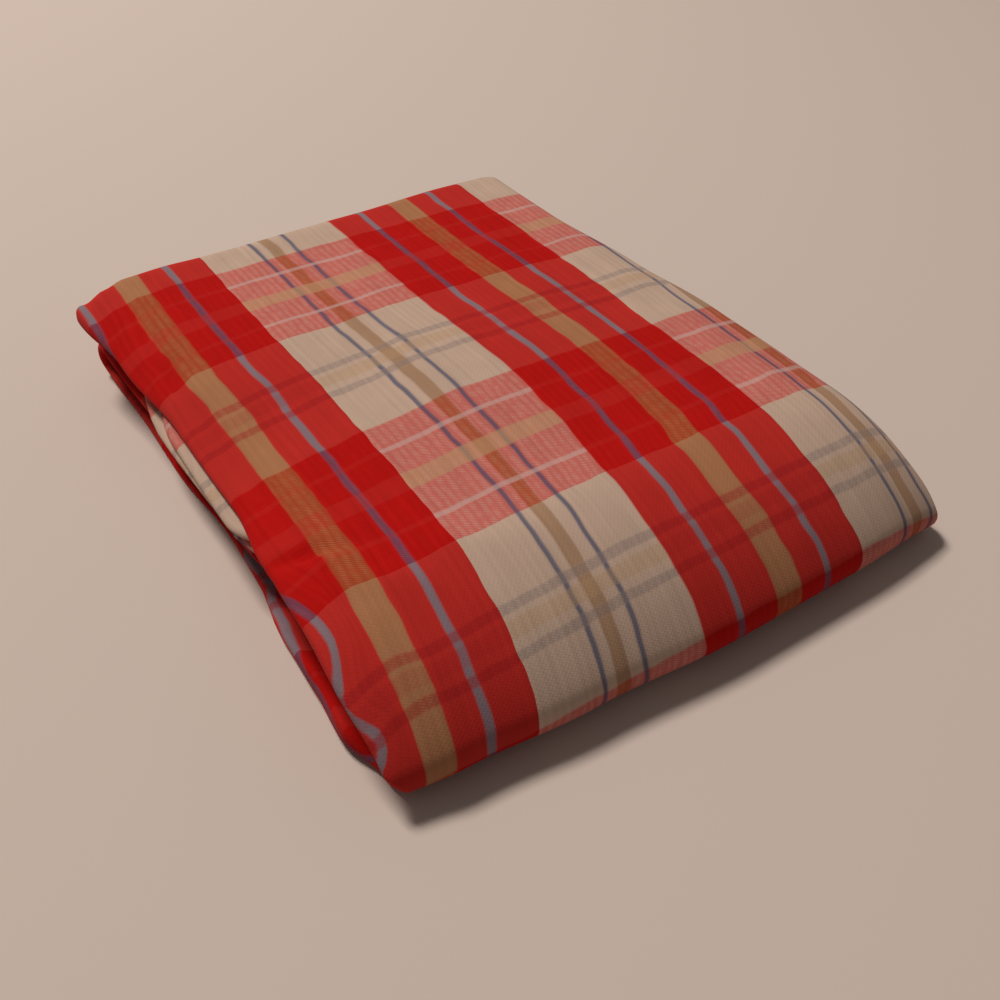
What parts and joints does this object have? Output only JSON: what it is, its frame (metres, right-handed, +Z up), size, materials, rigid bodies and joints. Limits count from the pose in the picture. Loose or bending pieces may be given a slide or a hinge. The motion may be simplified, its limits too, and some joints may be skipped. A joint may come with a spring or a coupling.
{
  "type": "folded bedspread",
  "caption": "Woven plaid cotton bedspread folded into a flat bundle, lying on its underside.",
  "frame": {"origin": "middle of the underside of the folded bundle, on the surface it lies on", "axes": "+Z up; +Y along the bundle, from its closed front fold to the two folds at its back; +X across it, from its open creases to its round side fold"},
  "size_m": [0.2621, 0.3008, 0.0505],
  "materials": {
    "plaid_cotton": "matt woven cotton, red and cream plaid with thin blue and gold stripes"
  },
  "bodies": {
    "root": {"bedspread_cloth": "plaid_cotton"}
  },
  "joints": []
}
